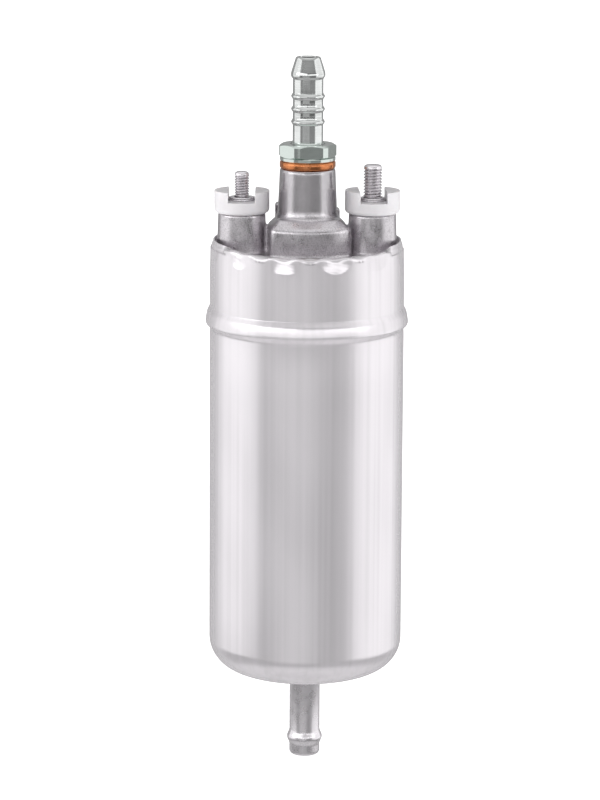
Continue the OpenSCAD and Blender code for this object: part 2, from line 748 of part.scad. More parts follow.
// Windings: a bundle in each slot, joined by the end turns
module winding() {
    in_r = slot_orbit - slot_r;
    out_r = stack_r - 1.6;
    color("peru") union() {
        for (z = [stack_z - end_turn_h - SLIP, stack_z + stack_len + SLIP])
            turned([[in_r, z + 1], [in_r + 1, z], [out_r - 1, z], [out_r, z + 1],
                [out_r, z + end_turn_h - 1], [out_r - 1, z + end_turn_h],
                [in_r + 1, z + end_turn_h], [in_r, z + end_turn_h - 1]]);
        for (i = [0:slot_count - 1]) rotate([0, 0, 360 * i / slot_count])
            translate([slot_orbit, 0, stack_z - 2]) cylinder(r = slot_r - SIDE, h = stack_len + 4, $fn = 48);
    }
}

// Copper segments of the commutator, each a solid of its own
module commutator() {
    gap = 0.6;
    color("peru") difference() {
        turned([[hub_r, commutator_z - riser_h], [commutator_r + riser_out, commutator_z - riser_h],
            [commutator_r + riser_out, commutator_z], [commutator_r, commutator_z],
            [commutator_r, commutator_top_z], [hub_r, commutator_top_z]]);
        for (i = [0:slot_count - 1]) rotate([0, 0, 360 * i / slot_count])
            translate([0, -gap / 2, commutator_z - riser_h - CUT])
                cube([commutator_r + riser_out + CUT, gap, commutator_len + riser_h + 2 * CUT]);
    }
}

module commutator_hub() {
    color("saddlebrown") ring(shaft_r + RUN, hub_r - RUN, commutator_z - riser_h, commutator_len + riser_h);
}

// Shims that set the armature's end play
module shaft_shims() {
    color("lightgray") for (i = [0:shim_count - 1])
        ring(shaft_r + SLIP, hub_r - 0.3, commutator_top_z + SLIP + i * shim_h, shim_h - 0.02);
}

// Coupling with two dogs that reach into the rotor disc
module drive_coupling() {
    color("ivory") union() {
        ring(shaft_r + RUN, coupling_r, plate_z, coupling_h);
        for (a = [0, 180]) rotate([0, 0, a]) translate([dog_orbit, 0, plate_z - dog_len])
            cylinder(r = dog_r, h = dog_len + 1, $fn = 32);
    }
}

// Rotor disc with one open slot for each roller
module rotor_disc() {
    slot = roller_r + SLIP;
    color("lightsteelblue") translate([0, 0, cam_z + SLIP]) difference() {
        cylinder(r = rotor_r, h = cam_h - 2 * SLIP);
        translate([0, 0, -CUT]) cylinder(r = shaft_r + RUN, h = cam_h + 2 * CUT);
        for (i = [0:roller_count - 1]) rotate([0, 0, 360 * i / roller_count]) {
            translate([roller_orbit, 0, -CUT]) cylinder(r = slot, h = cam_h + 2 * CUT);
            translate([roller_orbit, -slot, -CUT]) cube([rotor_r, 2 * slot, cam_h + 2 * CUT]);
        }
        for (a = [0, 180]) rotate([0, 0, a]) translate([dog_orbit, 0, cam_h - dog_len - 0.2])
            cylinder(r = dog_r + SLIP, h = dog_len + CUT, $fn = 32);
    }
}

// Roller, shown pushed in to the bottom of its slot
module roller(i) {
    color("gainsboro") rotate([0, 0, 360 * i / roller_count])
        translate([roller_orbit, 0, cam_z + SLIP]) cylinder(r = roller_r, h = cam_h - 2 * SLIP);
}

// The four screw places of the pump unit
module at_screws() {
    for (a = [45:90:315]) rotate([0, 0, a]) translate([unit_r - screw_inset, 0, 0]) children();
}

// The kidney-shaped opening through a pump plate, around a middle angle
module port(z, h, middle) {
    ring_sector(port_in_r, port_in_r + port_w, z, h, middle - port_angle / 2, port_angle);
}

// Pump base with its foot ring, intake port, bearing seat and relief chamber
module pump_base() {
    color("lightgray") difference() {
        union() {
            turned([[0, base_z], [unit_r - 1.6, base_z], [unit_r, base_z + 1.6],
                [unit_r, cam_z], [0, cam_z]]);
            ring(foot_in_r, foot_out_r, floor_in_z, foot_h + 1);
        }
        translate([0, 0, lower_bush_z]) cylinder(r = bush_r, h = bush_h + CUT);
        translate([0, 0, base_z - CUT]) cylinder(r = shaft_r + 0.5, h = base_h);
        port(base_z - CUT, base_h + 2 * CUT, 270);
        translate([relief_x, 0, base_z - CUT]) cylinder(r = relief_bore_r, h = base_h + 2 * CUT);
        at_screws() translate([0, 0, base_z + 1]) cylinder(r = screw_r, h = base_h);
    }
}

// Ring with the offset bore that the rollers run in
module cam_ring() {
    color("darkgray") difference() {
        translate([0, 0, cam_z]) cylinder(r = unit_r, h = cam_h);
        translate([cam_offset, 0, cam_z - CUT]) cylinder(r = cam_bore_r, h = cam_h + 2 * CUT);
        translate([relief_x, 0, cam_z - CUT]) cylinder(r = relief_bore_r, h = cam_h + 2 * CUT);
        at_screws() translate([0, 0, cam_z - CUT]) cylinder(r = screw_r + 0.2, h = cam_h + 2 * CUT);
    }
}

// Pump cover with its delivery port, the relief valve's seat and the screws' counterbores
module pump_cover() {
    color("lightgray") difference() {
        translate([0, 0, plate_z]) cylinder(r = unit_r, h = plate_h);
        translate([0, 0, plate_z - CUT]) cylinder(r = coupling_r + APART, h = plate_h + 2 * CUT);
        port(plate_z - CUT, plate_h + 2 * CUT, 90);
        translate([relief_x, 0, plate_z - CUT]) cylinder(r = relief_seat_r, h = plate_h + 2 * CUT);
        at_screws() translate([0, 0, plate_z - CUT]) cylinder(r = screw_r + 0.2, h = plate_h + 2 * CUT);
        at_screws() translate([0, 0, unit_top_z - screw_head_h - 0.1])
            cylinder(r = screw_head_r + 0.2, h = screw_head_h + CUT);
    }
}

// Screws that hold the pump unit together
module pump_screws() {
    head_z = unit_top_z - screw_head_h - 0.1;
    color("gray") at_screws() difference() {
        union() {
            translate([0, 0, head_z]) cylinder(r = screw_head_r, h = screw_head_h);
            translate([0, 0, base_z + 1.5]) cylinder(r = screw_r, h = head_z - base_z - 1);
        }
        translate([0, 0, head_z + 0.8]) rotate([0, 0, 30]) cylinder(r = 1.4, h = screw_head_h, $fn = 6);
    }
}

module relief_ball() {
    color("gainsboro") translate([relief_x, 0, relief_ball_z]) sphere(r = relief_ball_r);
}

module relief_spring() {
    foot = base_z + relief_plug_h + SLIP;
    color("gray") translate([relief_x, 0, foot])
        coil_spring(relief_coil_r, relief_wire, relief_spring_top - foot, relief_turns);
}

// Pressed-in ring that the relief spring stands on
module relief_plug() {
    color("goldenrod") translate([relief_x, 0, 0])
        ring(relief_coil_r - relief_wire, relief_bore_r - SLIP, base_z, relief_plug_h);
}

can();
end_cover();
cover_seal();
outlet_nipple();
nipple_washer();
check_valve_seat();
check_valve_poppet();
check_valve_spring();
collar(-1, left_stud_d, 0);  // left_collar
collar(1, right_stud_d, 2.6);  // right_collar
stud(-1, left_stud_d, left_stud_h);  // left_stud
stud(1, right_stud_d, right_stud_h);  // right_stud
stud_washers(-1, left_stud_d);  // left_stud_washers
stud_washers(1, right_stud_d);  // right_stud_washers
stud_nut(-1, left_stud_d);  // left_stud_nut
stud_nut(1, right_stud_d);  // right_stud_nut
terminal_insulators();
strip(-1, left_stud_d);  // left_strip
strip(1, right_stud_d);  // right_strip
brush_plate();
brush_guide(-1);  // left_brush_guide
brush_guide(1);  // right_brush_guide
brush(-1);  // left_brush
brush(1);  // right_brush
brush_spring(-1);  // left_brush_spring
brush_spring(1);  // right_brush_spring
pigtail(-1);  // left_pigtail
pigtail(1);  // right_pigtail
choke_cores();
choke_coils();
upper_bush();
lower_bush();
flux_ring();
magnet(270);  // front_magnet
magnet(90);  // rear_magnet
magnet_clips();
shaft();
lamination_stack();
winding();
commutator();
commutator_hub();
shaft_shims();
drive_coupling();
rotor_disc();
roller(0);  // roller_1
roller(1);  // roller_2
roller(2);  // roller_3
roller(3);  // roller_4
roller(4);  // roller_5
pump_base();
cam_ring();
pump_cover();
pump_screws();
relief_ball();
relief_spring();
relief_plug();
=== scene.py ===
"""In-line fuel pump: the dressed model, its studio and the camera.

Lengths are written in millimetres and turned into metres by MM. The origin is on the pump's
axis at the centre of the clamp band, +Z is the outlet end and -Y faces the camera.
"""
import math

import bpy
from mathutils import Matrix, Vector


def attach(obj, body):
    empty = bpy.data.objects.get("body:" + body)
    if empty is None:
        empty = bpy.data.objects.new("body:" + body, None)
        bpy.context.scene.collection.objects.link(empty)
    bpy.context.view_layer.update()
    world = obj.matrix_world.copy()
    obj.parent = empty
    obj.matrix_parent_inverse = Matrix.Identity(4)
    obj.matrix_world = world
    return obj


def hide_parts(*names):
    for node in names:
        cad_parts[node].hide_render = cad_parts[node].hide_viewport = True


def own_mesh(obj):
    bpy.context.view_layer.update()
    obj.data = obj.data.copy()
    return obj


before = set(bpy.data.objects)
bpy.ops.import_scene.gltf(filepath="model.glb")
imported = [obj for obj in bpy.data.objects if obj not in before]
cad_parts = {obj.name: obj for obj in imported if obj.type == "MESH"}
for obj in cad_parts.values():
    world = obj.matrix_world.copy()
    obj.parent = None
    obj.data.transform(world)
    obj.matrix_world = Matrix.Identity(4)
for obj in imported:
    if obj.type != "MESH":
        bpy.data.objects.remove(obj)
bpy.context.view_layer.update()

MM = 0.001

# Main sizes in millimetres: those of the solids, or up to half a millimetre from them
CAN_R = 26.0
CAN_FOOT_R = 26.15
SPIGOT_R = 4.1
SPIGOT_BORE_R = 3.1
SPIGOT_END = -75.3
SPIGOT_BEAD = -70.4
FLOOR = -50.0
CORNER_R = 8.0
BEAD = 46.9
COVER_TOP = 65.5
CEILING = 54.0
SKIRT_END = 36.0
TERMINAL_X = {-1: -17.45, 1: 17.3}
TOWER_TOP = 74.9
TOWER_BORE_R = 3.6
COLLAR_R = 7.35
COLLAR_TOP = {-1: 80.9, 1: 81.05}
SLOT_FLOOR = 78.25
SLOT_HALF = 3.55
COLUMN_TOP = 86.9
NIPPLE = 88.95
HEX = 89.95
HEX_HALF = 7.0
TUBE = 93.4
TIP = 116.4
TUBE_R = 4.05
BRUSH_Z = 39.7

# How far the block and the hexagon are turned about the pump's axis, in degrees
BLOCK_TURN = 5
HEX_TURN = 38.4

# Each terminal's name, side, stud radius, thread pitch, stud top and the turn of its collar
TERMINALS = [("left", -1, 2.0, 0.7, 85.9, 0), ("right", 1, 2.5, 0.8, 87.9, 2.6)]


# Modelling steps

def deselect():
    """Back to object mode with nothing selected."""
    if bpy.context.mode != "OBJECT":
        bpy.ops.object.mode_set(mode="OBJECT")
    bpy.ops.object.select_all(action="DESELECT")


def pick(piece):
    """Selects one piece alone and makes it the active one."""
    deselect()
    piece.select_set(True)
    bpy.context.view_layer.objects.active = piece


def edit(piece):
    """Edit mode on one piece with nothing in it selected."""
    pick(piece)
    bpy.ops.object.mode_set(mode="EDIT")
    bpy.ops.mesh.select_all(action="DESELECT")


def settle(piece):
    """Writes the piece's place, turn and scale into its mesh."""
    pick(piece)
    bpy.ops.object.transform_apply(location=True, rotation=True, scale=True)
    return piece


def named(name):
    """The piece that was just added, under its own name."""
    piece = bpy.context.active_object
    piece.name = piece.data.name = name
    return piece


def join(pieces):
    """Several pieces made one, under the first one's name."""
    deselect()
    for piece in pieces:
        piece.select_set(True)
    bpy.context.view_layer.objects.active = pieces[0]
    if len(pieces) > 1:
        bpy.ops.object.join()
    return pieces[0]


def face_out(piece):
    """Merges doubles and turns every face outwards."""
    edit(piece)
    bpy.ops.mesh.select_all(action="SELECT")
    bpy.ops.mesh.remove_doubles(threshold=2e-6)
    bpy.ops.mesh.normals_make_consistent(inside=False)
    bpy.ops.object.mode_set(mode="OBJECT")
    return piece


def trace(name, points):
    """A line through [x, y, z] points: a new piece in edit mode with all of it selected."""
    deselect()
    bpy.ops.mesh.primitive_plane_add(size=MM)
    piece = named(name)
    bpy.ops.object.mode_set(mode="EDIT")
    bpy.ops.mesh.select_all(action="SELECT")
    bpy.ops.mesh.merge(type="CENTER")
    bpy.ops.transform.translate(value=[c * MM for c in points[0]])
    for start, end in zip(points, points[1:]):
        step = [(b - a) * MM for a, b in zip(start, end)]
        bpy.ops.mesh.extrude_region_move(TRANSFORM_OT_translate={"value": step})
    bpy.ops.mesh.select_all(action="SELECT")
    return piece


def turn(name, outline, steps):
    """A turned piece: its outline of [r, z] points is spun round the pump's axis."""
    piece = trace(name, [(r, 0, z) for r, z in outline])
    bpy.ops.mesh.spin(steps=steps, angle=math.tau, center=(0, 0, 0), axis=(0, 0, 1))
    return face_out(piece)


def move(piece, x=0.0, z=0.0, turned=0.0):
    """Turns a piece about its own upright axis, in degrees, and moves it, in its mesh."""
    pick(piece)
    piece.rotation_euler = (0, 0, math.radians(turned))
    piece.location = (x * MM, 0, z * MM)
    return settle(piece)


def rod(name, r, z0, z1, x=0.0, y=0.0, sides=64):
    """An upright cylinder."""
    deselect()
    bpy.ops.mesh.primitive_cylinder_add(vertices=sides, radius=r * MM, depth=(z1 - z0) * MM,
                                        location=(x * MM, y * MM, (z0 + z1) / 2 * MM))
    return settle(named(name))


def slab(name, low, high):
    """A box between two corners."""
    deselect()
    centre = [(a + b) / 2 * MM for a, b in zip(low, high)]
    bpy.ops.mesh.primitive_cube_add(size=1, location=centre,
                                    scale=[(b - a) * MM for a, b in zip(low, high)])
    return settle(named(name))


def extrude_plan(name, plan, z0, z1):
    """A solid with an upright wall over a plan of [x, y] points."""
    piece = trace(name, [(x, y, z0) for x, y in plan + plan[:1]])
    bpy.ops.mesh.remove_doubles(threshold=2e-6)
    bpy.ops.mesh.edge_face_add()
    bpy.ops.mesh.extrude_region_move(TRANSFORM_OT_translate={"value": (0, 0, (z1 - z0) * MM)})
    return face_out(piece)


def add_modifier(piece, kind, **settings):
    """Adds a modifier to a piece and applies it."""
    pick(piece)
    modifier = piece.modifiers.new(kind.lower(), kind)
    for key, value in settings.items():
        setattr(modifier, key, value)
    bpy.ops.object.modifier_apply(modifier=modifier.name)
    return piece


def combine(piece, tool, operation):
    """Joins a tool to a piece, cuts it out or keeps what they share, and removes the tool."""
    add_modifier(piece, "BOOLEAN", object=tool, operation=operation, solver="EXACT")
    bpy.data.objects.remove(tool)
    return piece


def break_edges(piece, width, angle):
    """Small rounded breaks on the edges of a piece that are sharper than an angle."""
    return add_modifier(piece, "BEVEL", width=width * MM, segments=3, limit_method="ANGLE",
                        angle_limit=math.radians(angle), miter_outer="MITER_ARC",
                        use_clamp_overlap=True)


def smooth(piece, angle):
    """Smooth shading with edges kept sharp above an angle."""
    pick(piece)
    bpy.ops.object.shade_smooth_by_angle(angle=math.radians(angle))
    return piece


def fit(piece, material, slot, *nodes):
    """Puts a finished piece on the housing with its material, and hides the nodes that it
    replaces. The slot is not used.
    """
    piece.data.materials.clear()
    piece.data.materials.append(material)
    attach(piece, "housing")
    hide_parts(*nodes)
    return piece


# Outlines

def arc(cr, cz, r, a0, a1, count):
    """Points on an arc of a turned outline."""
    points = []
    for i in range(count + 1):
        a = math.radians(a0 + (a1 - a0) * i / count)
        points.append((cr + r * math.cos(a), cz + r * math.sin(a)))
    return points


def swell(r, z, half, out, count):
    """A rounded bead that runs out softly into the wall on both sides, from its lower end up."""
    points = []
    for i in range(count + 1):
        t = -1 + 2 * i / count
        points.append((r + out * math.cos(math.pi * t / 2) ** 2, z + half * t))
    return points


def straight(p, q, count):
    """Points between two points, without the first one."""
    return [(p[0] + (q[0] - p[0]) * i / count, p[1] + (q[1] - p[1]) * i / count)
            for i in range(1, count + 1)]


def ease(x, low, high):
    """0 below low, 1 above high, and a soft step between them."""
    t = min(max((x - low) / (high - low), 0.0), 1.0)
    return t * t * (3 - 2 * t)


# Materials

def new_finish(name, colour, metallic, roughness):
    """A material with its even values set on the shader itself."""
    material = bpy.data.materials.new(name)
    material.use_nodes = True
    shader = material.node_tree.nodes["Principled BSDF"]
    shader.inputs["Base Color"].default_value = (*colour, 1)
    shader.inputs["Metallic"].default_value = metallic
    shader.inputs["Roughness"].default_value = roughness
    return material


def spread_out(tree, value, low, high, ends=(0, 1), soft=False):
    """A value that runs from one end to the other, straight or in a soft step."""
    span = tree.nodes.new("ShaderNodeMapRange")
    if soft:
        span.interpolation_type = "SMOOTHSTEP"
    span.inputs["From Min"].default_value = low
    span.inputs["From Max"].default_value = high
    span.inputs["To Min"].default_value = ends[0]
    span.inputs["To Max"].default_value = ends[1]
    tree.links.new(value, span.inputs["Value"])
    return span.outputs["Result"]


def set_stops(ramp, stops):
    """Gives a ramp its (place, colour) stops."""
    while len(ramp.color_ramp.elements) < len(stops):
        ramp.color_ramp.elements.new(0.5)
    for element, (place, colour) in zip(ramp.color_ramp.elements, stops):
        element.position = place
        element.color = (*colour, 1)


def grain(material, stretch, detail, rough=0.5, distort=0.0):
    """A noise pattern fixed to the piece, with its own count of spots per millimetre each way."""
    nodes = material.node_tree.nodes
    links = material.node_tree.links
    place = nodes.new("ShaderNodeTexCoord")
    scale = nodes.new("ShaderNodeMapping")
    scale.inputs["Scale"].default_value = [s / MM for s in stretch]
    noise = nodes.new("ShaderNodeTexNoise")
    noise.inputs["Scale"].default_value = 1.0
    noise.inputs["Detail"].default_value = detail
    noise.inputs["Roughness"].default_value = rough
    noise.inputs["Distortion"].default_value = distort
    links.new(place.outputs["Object"], scale.inputs["Vector"])
    links.new(scale.outputs["Vector"], noise.inputs["Vector"])
    return noise.outputs["Fac"]


def mingle(material, first, second, share):
    """Two patterns laid over each other."""
    mix = material.node_tree.nodes.new("ShaderNodeMix")
    mix.inputs["Factor"].default_value = share
    material.node_tree.links.new(first, mix.inputs["A"])
    material.node_tree.links.new(second, mix.inputs["B"])
    return mix.outputs["Result"]


def tint(material, pattern, stops):
    """Base colour that follows a pattern through a ramp of (place, colour) stops."""
    nodes = material.node_tree.nodes
    ramp = nodes.new("ShaderNodeValToRGB")
    ramp.color_ramp.interpolation = "B_SPLINE"
    set_stops(ramp, stops)
    links = material.node_tree.links
    links.new(pattern, ramp.inputs["Fac"])
    links.new(ramp.outputs["Color"], nodes["Principled BSDF"].inputs["Base Color"])


def polish(material, pattern, low, high):
    """Roughness that follows the middle of a pattern's range between two values."""
    tree = material.node_tree
    rough = spread_out(tree, pattern, 0.3, 0.7, (low, high))
    tree.links.new(rough, tree.nodes["Principled BSDF"].inputs["Roughness"])


def relief(material, pattern, depth, strength=1.0):
    """Surface relief that follows a pattern, its depth in millimetres."""
    nodes = material.node_tree.nodes
    bump = nodes.new("ShaderNodeBump")
    bump.inputs["Strength"].default_value = strength
    bump.inputs["Distance"].default_value = depth * MM
    material.node_tree.links.new(pattern, bump.inputs["Height"])
    material.node_tree.links.new(bump.outputs["Normal"], nodes["Principled BSDF"].inputs["Normal"])


def height(material, low, high):
    """0 below one height of the piece and 1 above another, in millimetres."""
    tree = material.node_tree
    place = tree.nodes.new("ShaderNodeTexCoord")
    split = tree.nodes.new("ShaderNodeSeparateXYZ")
    tree.links.new(place.outputs["Object"], split.inputs["Vector"])
    return spread_out(tree, split.outputs["Z"], low * MM, high * MM)


def kept_pattern(material, name):
    """A pattern that a piece keeps on its points."""
    keep = material.node_tree.nodes.new("ShaderNodeAttribute")
    keep.attribute_name = name
    return keep.outputs["Fac"]


def combine_patterns(owner, first, second, operation):
    """Two patterns, or a pattern and a number, added or multiplied in a material or the room."""
    node = owner.node_tree.nodes.new("ShaderNodeMath")
    node.operation = operation
    for socket, value in zip(node.inputs, (first, second)):
        if isinstance(value, (int, float)):
            socket.default_value = value
        else:
            owner.node_tree.links.new(value, socket)
    return node.outputs["Value"]


def recolour(material, pattern, colour, strength):
    """Lays a second colour over the base colour where a pattern is high."""
    tree = material.node_tree
    socket = tree.nodes["Principled BSDF"].inputs["Base Color"]
    below = socket.links[0].from_socket
    mix = tree.nodes.new("ShaderNodeMix")
    mix.data_type = "RGBA"
    mix.inputs["B"].default_value = (*colour, 1)
    share = combine_patterns(material, pattern, strength, "MULTIPLY")
    tree.links.new(share, mix.inputs["Factor"])
    tree.links.new(below, mix.inputs["A"])
    tree.links.new(mix.outputs["Result"], socket)


def shade(colour, factor):
    """A colour made lighter or darker."""
    return tuple(min(1.0, c * factor) for c in colour)


def drawn_steel():
    """Satin can wall: fine upright draw lines, soft streaks, dull smudges and painted shade at the
    lip.
    """
    base = (0.79, 0.762, 0.79)
    material = new_finish("drawn_steel", base, 0.68, 0.27)
    shader = material.node_tree.nodes["Principled BSDF"]
    shader.inputs["Anisotropic"].default_value = 0.7
    lines = grain(material, (0.7, 0.7, 0.004), 1.5, 0.5)
    streaks = grain(material, (0.22, 0.22, 0.005), 1.0, 0.5)
    smudges = grain(material, (0.10, 0.10, 0.04), 0.0)
    tone = mingle(material, lines, smudges, 0.4)
    tint(material, tone, [(0.36, shade(base, 0.92)), (0.5, base), (0.64, shade(base, 1.04))])
    relief(material, streaks, 0.006)
    # Painted shade: the kept pattern darkens the can under the lip's edge and on its flat
    recolour(material, kept_pattern(material, "painted_shade"), (0.13, 0.125, 0.13), 0.85)
    return material


def die_cast():
    """Die-cast cover: a dull mottled skin with fine grain, smoother on the column, and painted
    shade that makes the column darker.
    """
    base = (0.65, 0.624, 0.65)
    material = new_finish("die_cast", base, 1.0, 0.3)
    fine = grain(material, (3.2, 3.2, 3.2), 2.0, 0.6)
    patches = grain(material, (0.45, 0.45, 0.3), 3.0, 0.55, 0.4)
    tone = mingle(material, fine, patches, 0.25)
    tint(material, tone, [(0.38, shade(base, 0.72)), (0.5, base), (0.62, shade(base, 1.15))])
    column = height(material, 74.8, 75.6)
    # Painted shade: the column, above 75 mm, is coloured darker
    recolour(material, column, (0.50, 0.481, 0.50), 0.7)
    rough = combine_patterns(material, column, -0.4, "MULTIPLY")
    polish(material, combine_patterns(material, patches, rough, "ADD"), 0.25, 0.36)
    low = combine_patterns(material, height(material, 73.5, 70.5), 0.4, "ADD")
    relief(material, combine_patterns(material, fine, low, "MULTIPLY"), 0.02, 0.6)
    return material


def bright_zinc():
    """Bright zinc plate over turned steel, greener and duller on the hexagon."""
    base = (0.72, 0.737, 0.73)
    material = new_finish("bright_zinc", base, 1.0, 0.13)
    rings = grain(material, (0.05, 0.05, 4.5), 3.0, 0.6)
    clouds = grain(material, (0.3, 0.3, 0.3), 2.0, 0.5)
    tint(material, mingle(material, rings, clouds, 0.6),
         [(0.35, shade(base, 0.86)), (0.5, base), (0.65, shade(base, 1.07))])
    recolour(material, height(material, 94.6, 93.2), (0.59, 0.655, 0.62), 0.85)
    polish(material, mingle(material, clouds, rings, 0.4), 0.09, 0.17)
    relief(material, rings, 0.003)
    return material


def soft_copper():
    """Turned copper sealing washer."""
    base = (0.68, 0.243, 0.094)
    material = new_finish("soft_copper", base, 1.0, 0.22)
    rings = grain(material, (0.2, 0.2, 5.0), 3.0, 0.6)
    dull = grain(material, (0.5, 0.5, 0.5), 2.0, 0.5)
    tint(material, mingle(material, rings, dull, 0.6),
         [(0.35, shade(base, 0.72)), (0.55, base), (0.7, (0.79, 0.335, 0.158))])
    polish(material, dull, 0.17, 0.30)
    relief(material, rings, 0.006)
    return material


def white_nylon():
    """Moulded nylon, slightly translucent."""
    base = (0.70, 0.684, 0.702)
    material = new_finish("white_nylon", base, 0.0, 0.38)
    shader = material.node_tree.nodes["Principled BSDF"]
    shader.inputs["Subsurface Weight"].default_value = 0.5
    shader.inputs["Subsurface Radius"].default_value = (1.0, 0.95, 0.9)
    shader.inputs["Subsurface Scale"].default_value = 1.6 * MM
    clouds = grain(material, (0.35, 0.35, 0.35), 2.0, 0.5)
    fine = grain(material, (6.0, 6.0, 6.0), 2.0, 0.5)
    tint(material, clouds, [(0.35, shade(base, 0.96)), (0.65, shade(base, 1.02))])
    polish(material, clouds, 0.34, 0.42)
    relief(material, fine, 0.004)
    return material


def plain_metal(name, base, rough, stretch, spread=0.12):
    """A plain worked metal with faint tool marks."""
    material = new_finish(name, base, 1.0, rough)
    marks = grain(material, stretch, 3.0, 0.6)
    clouds = grain(material, (0.4, 0.4, 0.4), 2.0, 0.5)
    tint(material, mingle(material, marks, clouds, 0.5),
         [(0.35, shade(base, 1 - spread)), (0.5, base), (0.65, shade(base, 1 + spread))])
    polish(material, clouds, rough * 0.85, rough * 1.15)
    relief(material, marks, 0.004)
    return material


def plain_solid(name, base, rough, stretch, depth, spread):
    """A moulded, sintered or pressed material that isn't metal."""
    material = new_finish(name, base, 0.0, rough)
    marks = grain(material, stretch, 3.0, 0.6)
    clouds = grain(material, (0.3, 0.3, 0.3), 2.0, 0.5)
    tint(material, mingle(material, marks, clouds, 0.5),
         [(0.35, shade(base, 1 - spread)), (0.65, shade(base, 1 + spread))])
    polish(material, clouds, rough * 0.9, rough * 1.1)
    relief(material, marks, depth)
    return material


# The camera

def aim_camera():
    """Camera at the photo's angle, looking down 12.1 degrees on the pump and leaning slightly."""
    data = bpy.data.cameras.new("camera")
    data.lens = 150.435
    data.sensor_width = 36
    data.clip_end = 100
    camera = bpy.data.objects.new("camera", data)
    bpy.context.scene.collection.objects.link(camera)
    up = math.radians(12.1)
    lean = math.radians(0.31)
    away = 0.9
    side = -1.70 * MM
    middle = 23.888 * MM
    camera.location = (side, -away * math.cos(up), middle + away * math.sin(up))
    camera.rotation_mode = "QUATERNION"
    look = Vector((side, 0, middle)) - camera.location
    tilt = look.to_track_quat("-Z", "Y").to_matrix() @ Matrix.Rotation(lean, 3, "Z")
    camera.rotation_quaternion = tilt.to_quaternion()
    bpy.context.scene.camera = camera


# The pieces

# The can's rim. Azimuths are in degrees, 0 in front and 90 on the right
# Height above which the wall is worked
CRIMP_FOOT = 61
# Azimuth, half width and roundness of each crimp
CRIMPS = [(-44, 8.0, 2), (-13.5, 8.2, 8), (17, 10.0, 2), (45.5, 9.5, 3), (76, 9, 3), (106, 9, 3),
          (136, 9, 3), (166, 9, 3), (196, 9, 3), (226, 9, 3), (256, 9, 3), (286, 9, 3)]
# Middle of the front gap between two crimps, and from one such gap to the next
GAP = 1.75
GAP_PITCH = 30.2
# Where the lip rises to stand up on both sides of the can, and where it lies down again
STAND_UP = (59.0, 60.6)
LIE_DOWN = (119, 121)
# Depth of a dent and of the marks in it, and height and setback of the lip's waves
DENT = 0.56
DENT_MARK = 0.012
WAVE = 0.33
WAVE_SETBACK = 0.1
# Centre of the lip's fold
FOLD_R = 24.0
FOLD_Z = 65.6


def crimp_depth(angle):
    """How far the rim is pressed in, from 0 between crimps to 1 at one, and how high it starts."""
    for centre, half, roundness in CRIMPS:
        share = abs((angle - centre + 180) % 360 - 180) / half
        if share < 1:
            depth = (0.5 + 0.5 * math.cos(math.pi * share)) ** 0.6
            return depth, 62.55 + 2.0 * share ** roundness
    return 0.0, 64.5


def lip_gap(angle):
    """1 midway between two crimps of the front and 0 at the crimps."""
    return max(0.0, math.cos(math.tau * (angle - GAP) / GAP_PITCH)) ** 2


def lip_wave(angle):
    """1 between a crimp and the middle of the gap beside it, and 0 at both, on the front only."""
    front = 1 - ease(abs(angle - GAP), 48.0, 57.0)
    return front * math.sin(math.tau * (angle - GAP) / GAP_PITCH) ** 2


def lip_fold(r, z):
    """0 on the can's wall, 1 on the flat of the lip that is folded in over the cover."""
    return ease(25.35 - r, 0.0, 1.2) if z > 66.15 else 0.0


def painted_lip_shade(angle, r, z, press, gap):
    """Painted shade on the flat of the lip, and in a ragged line under its edge between two
    crimps.
    """
    under = ease(z, 64.95, 65.3) * (1 - ease(z, 65.45, 65.75)) if r > 25.5 else 0.0
    ragged = 0.55 + 0.45 * math.sin(angle * 2.9) * math.sin(angle * 0.7 + 0.4)
    return max(0.75 * lip_fold(r, z) ** 0.5 * (1 - press), under * ragged * ease(gap, 0.5, 0.95))


def unfold(r, z):
    """Where a point of the folded lip goes when the lip stands up, along it and through it."""
    out = (r - FOLD_R) / 1.49
    rise = (z - FOLD_Z) / 1.02
    along = max(0.0, math.atan2(rise, max(out, 0.0)) / (math.pi / 2))
    through = min(max((1 - math.hypot(max(out, 0.0), rise)) / 0.5, 0.0), 1.0)
    return 25.5 - 0.14 * along - 0.72 * through, FOLD_Z + 2.2 * along


